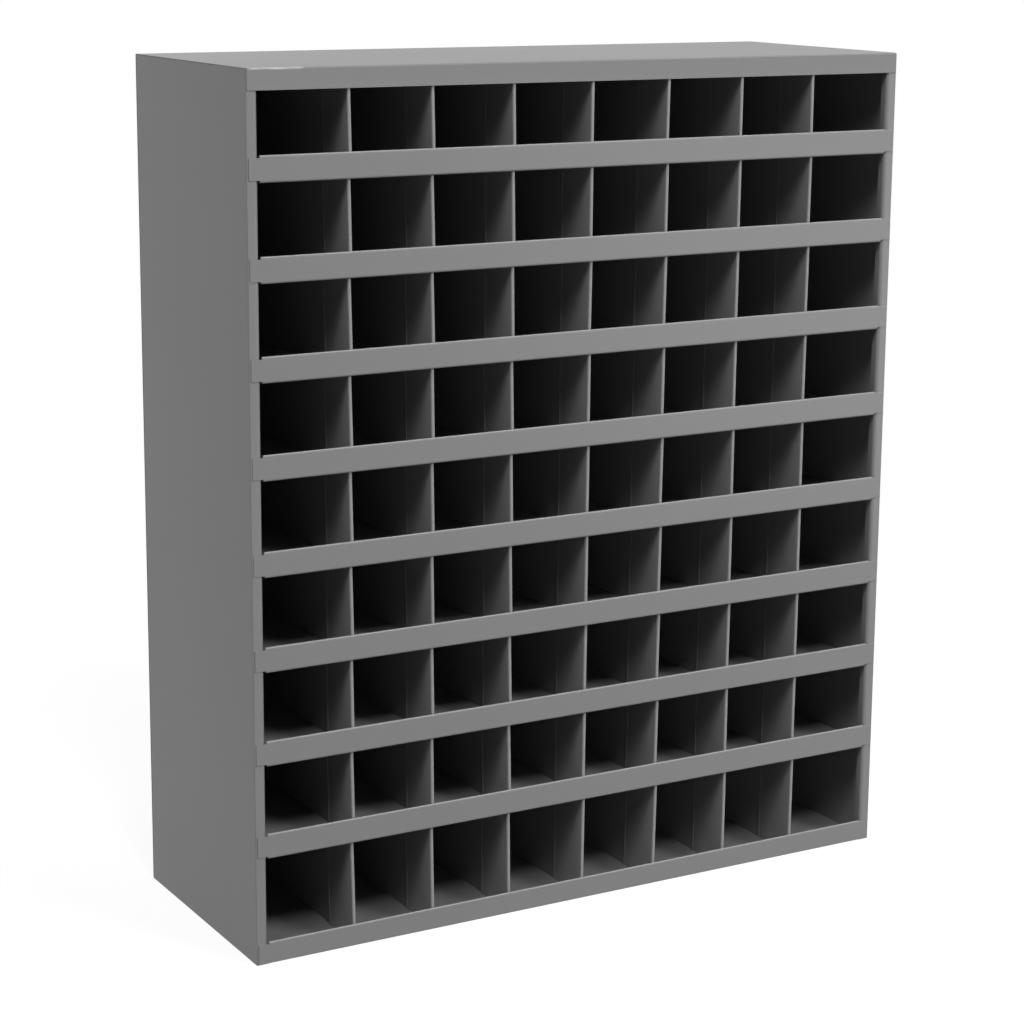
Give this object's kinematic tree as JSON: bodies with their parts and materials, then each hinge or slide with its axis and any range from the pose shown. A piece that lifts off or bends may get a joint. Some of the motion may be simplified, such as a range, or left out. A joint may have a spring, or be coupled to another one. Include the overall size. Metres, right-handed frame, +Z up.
{
  "type": "bolt bin cabinet",
  "caption": "Open-fronted welded steel cabinet with rows of small bins behind upturned lips, for sorting bolts and other small hardware in a workshop.",
  "frame": {"origin": "middle of the base, on the surface that the cabinet stands on", "axes": "+Z up, -Y out of the open front, +X to the right of someone who faces the front"},
  "size_m": [0.9144, 0.3302, 1.0668],
  "materials": {
    "grey_paint": "satin grey powder coat on sheet steel"
  },
  "bodies": {
    "root": {"left_side_panel": "grey_paint", "right_side_panel": "grey_paint", "top_panel": "grey_paint", "bottom_panel": "grey_paint", "back_panel": "grey_paint", "shelf_1": "grey_paint", "shelf_2": "grey_paint", "shelf_3": "grey_paint", "shelf_4": "grey_paint", "shelf_5": "grey_paint", "shelf_6": "grey_paint", "shelf_7": "grey_paint", "shelf_8": "grey_paint", "divider_row_1_no_1_2": "grey_paint", "divider_row_1_no_3": "grey_paint", "divider_row_1_no_4": "grey_paint", "divider_row_1_no_5": "grey_paint", "divider_row_1_no_6_7": "grey_paint", "divider_row_2_no_1_2": "grey_paint", "divider_row_2_no_3": "grey_paint", "divider_row_2_no_4": "grey_paint", "divider_row_2_no_5": "grey_paint", "divider_row_2_no_6_7": "grey_paint", "divider_row_3_no_1_2": "grey_paint", "divider_row_3_no_3": "grey_paint", "divider_row_3_no_4": "grey_paint", "divider_row_3_no_5": "grey_paint", "divider_row_3_no_6_7": "grey_paint", "divider_row_4_no_1_2": "grey_paint", "divider_row_4_no_3": "grey_paint", "divider_row_4_no_4": "grey_paint", "divider_row_4_no_5": "grey_paint", "divider_row_4_no_6_7": "grey_paint", "divider_row_5_no_1_2": "grey_paint", "divider_row_5_no_3": "grey_paint", "divider_row_5_no_4": "grey_paint", "divider_row_5_no_5": "grey_paint", "divider_row_5_no_6_7": "grey_paint", "divider_row_6_no_1_2": "grey_paint", "divider_row_6_no_3": "grey_paint", "divider_row_6_no_4": "grey_paint", "divider_row_6_no_5": "grey_paint", "divider_row_6_no_6_7": "grey_paint", "divider_row_7_no_1_2": "grey_paint", "divider_row_7_no_3": "grey_paint", "divider_row_7_no_4": "grey_paint", "divider_row_7_no_5": "grey_paint", "divider_row_7_no_6_7": "grey_paint", "divider_row_8_no_1_2": "grey_paint", "divider_row_8_no_3": "grey_paint", "divider_row_8_no_4": "grey_paint", "divider_row_8_no_5": "grey_paint", "divider_row_8_no_6_7": "grey_paint", "divider_row_9_no_1_2": "grey_paint", "divider_row_9_no_3": "grey_paint", "divider_row_9_no_4": "grey_paint", "divider_row_9_no_5": "grey_paint", "divider_row_9_no_6_7": "grey_paint"}
  },
  "joints": []
}
